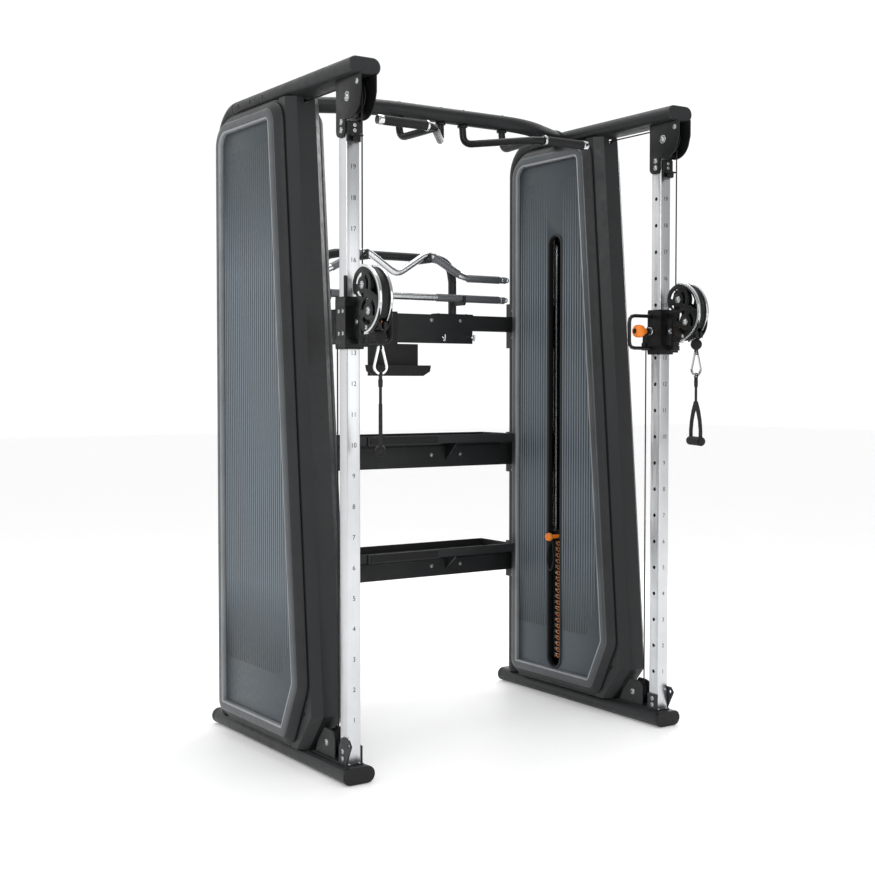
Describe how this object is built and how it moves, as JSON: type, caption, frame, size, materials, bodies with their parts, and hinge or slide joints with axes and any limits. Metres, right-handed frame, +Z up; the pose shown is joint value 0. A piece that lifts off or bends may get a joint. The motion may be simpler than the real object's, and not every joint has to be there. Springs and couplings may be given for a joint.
{
  "type": "functional trainer",
  "caption": "Twin tower cable machine: sliding pulley carriages on drilled chrome columns, panelled weight stacks, pull-up bar and rear storage rack",
  "frame": {"origin": "centre of the bounding box, on the floor", "axes": "+Z up, -Y towards the user, +X to the right as seen from the user"},
  "size_m": [1.566, 1.2392, 2.343],
  "materials": {
    "frame_tube": "charcoal powder coat",
    "cover_dark": "satin moulded cover",
    "panel": "silver grey moulded panel",
    "chrome": "polished chrome",
    "pulley": "moulded nylon",
    "carriage": "satin black coat",
    "knob": "orange plastic",
    "iron": "black coated steel",
    "rubber": "moulded rubber",
    "cable": "nylon coated steel cable",
    "bar": "chromed bar, knurled grips",
    "grip": "ribbed rubber grip"
  },
  "bodies": {
    "frame": {"left_foot": "frame_tube", "left_side_frame": "frame_tube", "left_column": "chrome", "left_spine_cover": "cover_dark", "left_outer_panel": "panel", "left_inner_panel": "panel", "left_weight_stack": "iron", "left_guide_rods": "chrome", "left_front_cable": "cable", "left_rear_cable": "cable", "left_feed_cable": "cable", "right_foot": "frame_tube", "right_side_frame": "frame_tube", "right_column": "chrome", "right_spine_cover": "cover_dark", "right_outer_panel": "panel", "right_inner_panel": "panel", "right_weight_stack": "iron", "right_guide_rods": "chrome", "right_front_cable": "cable", "right_rear_cable": "cable", "right_feed_cable": "cable", "crossbar": "frame_tube", "left_pull_up_handle": "carriage", "right_pull_up_handle": "carriage", "crossbeam": "frame_tube", "bar_rack": "frame_tube", "upper_shelf": "frame_tube", "lower_shelf": "frame_tube", "tablet_holder": "cover_dark"},
    "left_top_pulley": {"left_top_pulley": "pulley"},
    "left_base_pulley": {"left_base_pulley": "pulley"},
    "left_tower_pulley": {"left_tower_pulley": "pulley"},
    "left_carriage": {"left_carriage_sleeve": "carriage"},
    "left_pull_pin": {"left_pull_pin": "knob"},
    "left_head": {"left_swivel_head": "carriage"},
    "left_upper_head_pulley": {"left_upper_head_pulley": "pulley"},
    "left_lower_head_pulley": {"left_lower_head_pulley": "pulley"},
    "left_ball": {"left_cable_ball": "rubber"},
    "left_hook": {"left_snap_hook": "chrome"},
    "left_handle": {"left_handle_strap": "rubber"},
    "left_grip": {"left_handle_grip": "grip"},
    "left_stack_carrier": {"left_stack_carrier": "iron"},
    "left_selector_pin": {"left_selector_pin": "knob"},
    "right_top_pulley": {"right_top_pulley": "pulley"},
    "right_base_pulley": {"right_base_pulley": "pulley"},
    "right_tower_pulley": {"right_tower_pulley": "pulley"},
    "right_carriage": {"right_carriage_sleeve": "carriage"},
    "right_pull_pin": {"right_pull_pin": "knob"},
    "right_head": {"right_swivel_head": "carriage"},
    "right_upper_head_pulley": {"right_upper_head_pulley": "pulley"},
    "right_lower_head_pulley": {"right_lower_head_pulley": "pulley"},
    "right_ball": {"right_cable_ball": "rubber"},
    "right_hook": {"right_snap_hook": "chrome"},
    "right_handle": {"right_handle_strap": "rubber"},
    "right_grip": {"right_handle_grip": "grip"},
    "right_stack_carrier": {"right_stack_carrier": "iron"},
    "right_selector_pin": {"right_selector_pin": "knob"},
    "curl_bar": {"curl_bar": "bar"},
    "straight_bar": {"straight_bar": "bar"}
  },
  "joints": [
    {"name": "left_carriage_slide", "type": "slide", "parent": "frame", "child": "left_carriage", "axis": [0, 0, 1], "range_m": [-0.9, 0.4], "deforming": ["left_front_cable", "left_rear_cable"]},
    {"name": "left_pin_pull", "type": "slide", "parent": "left_carriage", "child": "left_pull_pin", "axis": [1, 0, 0], "range_m": [0, 0.012], "stiffness_N_per_m": 400},
    {"name": "left_head_swivel", "type": "hinge", "parent": "left_carriage", "child": "left_head", "pos_m": [-0.683, -0.44738, 1.503], "axis": [0, 0, 1], "range_deg": [-90, 90]},
    {"name": "left_stack_lift", "type": "slide", "parent": "frame", "child": "left_stack_carrier", "axis": [0, 0, 1], "range_m": [0, 0.45], "deforming": ["left_feed_cable"]},
    {"name": "left_selector_pin_pull", "type": "slide", "parent": "left_stack_carrier", "child": "left_selector_pin", "axis": [1, 0, 0], "range_m": [0, 0.07]},
    {"name": "left_handle_pull", "type": "slide", "parent": "left_head", "child": "left_ball", "axis": [0, -1, 0], "range_m": [0, 0.9]},
    {"name": "left_hook_swing", "type": "hinge", "parent": "left_ball", "child": "left_hook", "pos_m": [-0.683, -0.55739, 1.425], "axis": [1, 0, 0], "range_deg": [-25, 15]},
    {"name": "left_handle_swing", "type": "hinge", "parent": "left_hook", "child": "left_handle", "pos_m": [-0.683, -0.55739, 1.338], "axis": [1, 0, 0], "range_deg": [-25, 25]},
    {"name": "left_grip_spin", "type": "hinge", "parent": "left_handle", "child": "left_grip", "pos_m": [-0.683, -0.55739, 1.096], "axis": [0.515, 0.8572, 0], "continuous": true},
    {"name": "left_top_pulley_spin", "type": "hinge", "parent": "frame", "child": "left_top_pulley", "pos_m": [-0.683, -0.40338, 2.225], "axis": [1, 0, 0], "continuous": true},
    {"name": "left_tower_pulley_spin", "type": "hinge", "parent": "frame", "child": "left_tower_pulley", "pos_m": [-0.683, 0.12962, 2.231], "axis": [1, 0, 0], "continuous": true},
    {"name": "left_base_pulley_spin", "type": "hinge", "parent": "frame", "child": "left_base_pulley", "pos_m": [-0.683, -0.24738, 0.106], "axis": [1, 0, 0], "continuous": true},
    {"name": "left_upper_head_pulley_spin", "type": "hinge", "parent": "left_head", "child": "left_upper_head_pulley", "pos_m": [-0.683, -0.48339, 1.62], "axis": [1, 0, 0], "continuous": true},
    {"name": "left_lower_head_pulley_spin", "type": "hinge", "parent": "left_head", "child": "left_lower_head_pulley", "pos_m": [-0.683, -0.52138, 1.536], "axis": [1, 0, 0], "continuous": true},
    {"name": "right_carriage_slide", "type": "slide", "parent": "frame", "child": "right_carriage", "axis": [0, 0, 1], "range_m": [-0.9, 0.4], "deforming": ["right_front_cable", "right_rear_cable"]},
    {"name": "right_pin_pull", "type": "slide", "parent": "right_carriage", "child": "right_pull_pin", "axis": [-1, 0, 0], "range_m": [0, 0.012], "stiffness_N_per_m": 400},
    {"name": "right_head_swivel", "type": "hinge", "parent": "right_carriage", "child": "right_head", "pos_m": [0.683, -0.44738, 1.503], "axis": [0, 0, 1], "range_deg": [-90, 90]},
    {"name": "right_stack_lift", "type": "slide", "parent": "frame", "child": "right_stack_carrier", "axis": [0, 0, 1], "range_m": [0, 0.45], "deforming": ["right_feed_cable"]},
    {"name": "right_selector_pin_pull", "type": "slide", "parent": "right_stack_carrier", "child": "right_selector_pin", "axis": [-1, 0, 0], "range_m": [0, 0.07]},
    {"name": "right_handle_pull", "type": "slide", "parent": "right_head", "child": "right_ball", "axis": [0, -1, 0], "range_m": [0, 0.9]},
    {"name": "right_hook_swing", "type": "hinge", "parent": "right_ball", "child": "right_hook", "pos_m": [0.683, -0.55739, 1.425], "axis": [1, 0, 0], "range_deg": [-25, 15]},
    {"name": "right_handle_swing", "type": "hinge", "parent": "right_hook", "child": "right_handle", "pos_m": [0.683, -0.55739, 1.338], "axis": [1, 0, 0], "range_deg": [-25, 25]},
    {"name": "right_grip_spin", "type": "hinge", "parent": "right_handle", "child": "right_grip", "pos_m": [0.683, -0.55739, 1.096], "axis": [0.4226, 0.9063, 0], "continuous": true},
    {"name": "right_top_pulley_spin", "type": "hinge", "parent": "frame", "child": "right_top_pulley", "pos_m": [0.683, -0.40338, 2.225], "axis": [1, 0, 0], "continuous": true},
    {"name": "right_tower_pulley_spin", "type": "hinge", "parent": "frame", "child": "right_tower_pulley", "pos_m": [0.683, 0.12962, 2.231], "axis": [1, 0, 0], "continuous": true},
    {"name": "right_base_pulley_spin", "type": "hinge", "parent": "frame", "child": "right_base_pulley", "pos_m": [0.683, -0.24738, 0.106], "axis": [1, 0, 0], "continuous": true},
    {"name": "right_upper_head_pulley_spin", "type": "hinge", "parent": "right_head", "child": "right_upper_head_pulley", "pos_m": [0.683, -0.48339, 1.62], "axis": [1, 0, 0], "continuous": true},
    {"name": "right_lower_head_pulley_spin", "type": "hinge", "parent": "right_head", "child": "right_lower_head_pulley", "pos_m": [0.683, -0.52138, 1.536], "axis": [1, 0, 0], "continuous": true},
    {"name": "curl_bar_lift", "type": "slide", "parent": "frame", "child": "curl_bar", "axis": [0, 0, 1], "range_m": [0, 0.1]},
    {"name": "straight_bar_lift", "type": "slide", "parent": "frame", "child": "straight_bar", "axis": [0, 0, 1], "range_m": [0, 0.045]}
  ],
  "couplings": [
    {"joint": "left_handle_pull", "follows": "left_stack_lift", "ratio": 2},
    {"joint": "left_top_pulley_spin", "follows": "left_stack_lift", "rad_per_m": 45.455},
    {"joint": "left_tower_pulley_spin", "follows": "left_stack_lift", "rad_per_m": 52.632},
    {"joint": "left_upper_head_pulley_spin", "follows": "left_stack_lift", "rad_per_m": -55.556},
    {"joint": "left_lower_head_pulley_spin", "follows": "left_stack_lift", "rad_per_m": 55.556},
    {"joint": "left_base_pulley_spin", "follows": "left_carriage_slide", "rad_per_m": -26.316},
    {"joint": "right_handle_pull", "follows": "right_stack_lift", "ratio": 2},
    {"joint": "right_top_pulley_spin", "follows": "right_stack_lift", "rad_per_m": 45.455},
    {"joint": "right_tower_pulley_spin", "follows": "right_stack_lift", "rad_per_m": 52.632},
    {"joint": "right_upper_head_pulley_spin", "follows": "right_stack_lift", "rad_per_m": -55.556},
    {"joint": "right_lower_head_pulley_spin", "follows": "right_stack_lift", "rad_per_m": 55.556},
    {"joint": "right_base_pulley_spin", "follows": "right_carriage_slide", "rad_per_m": -26.316}
  ]
}
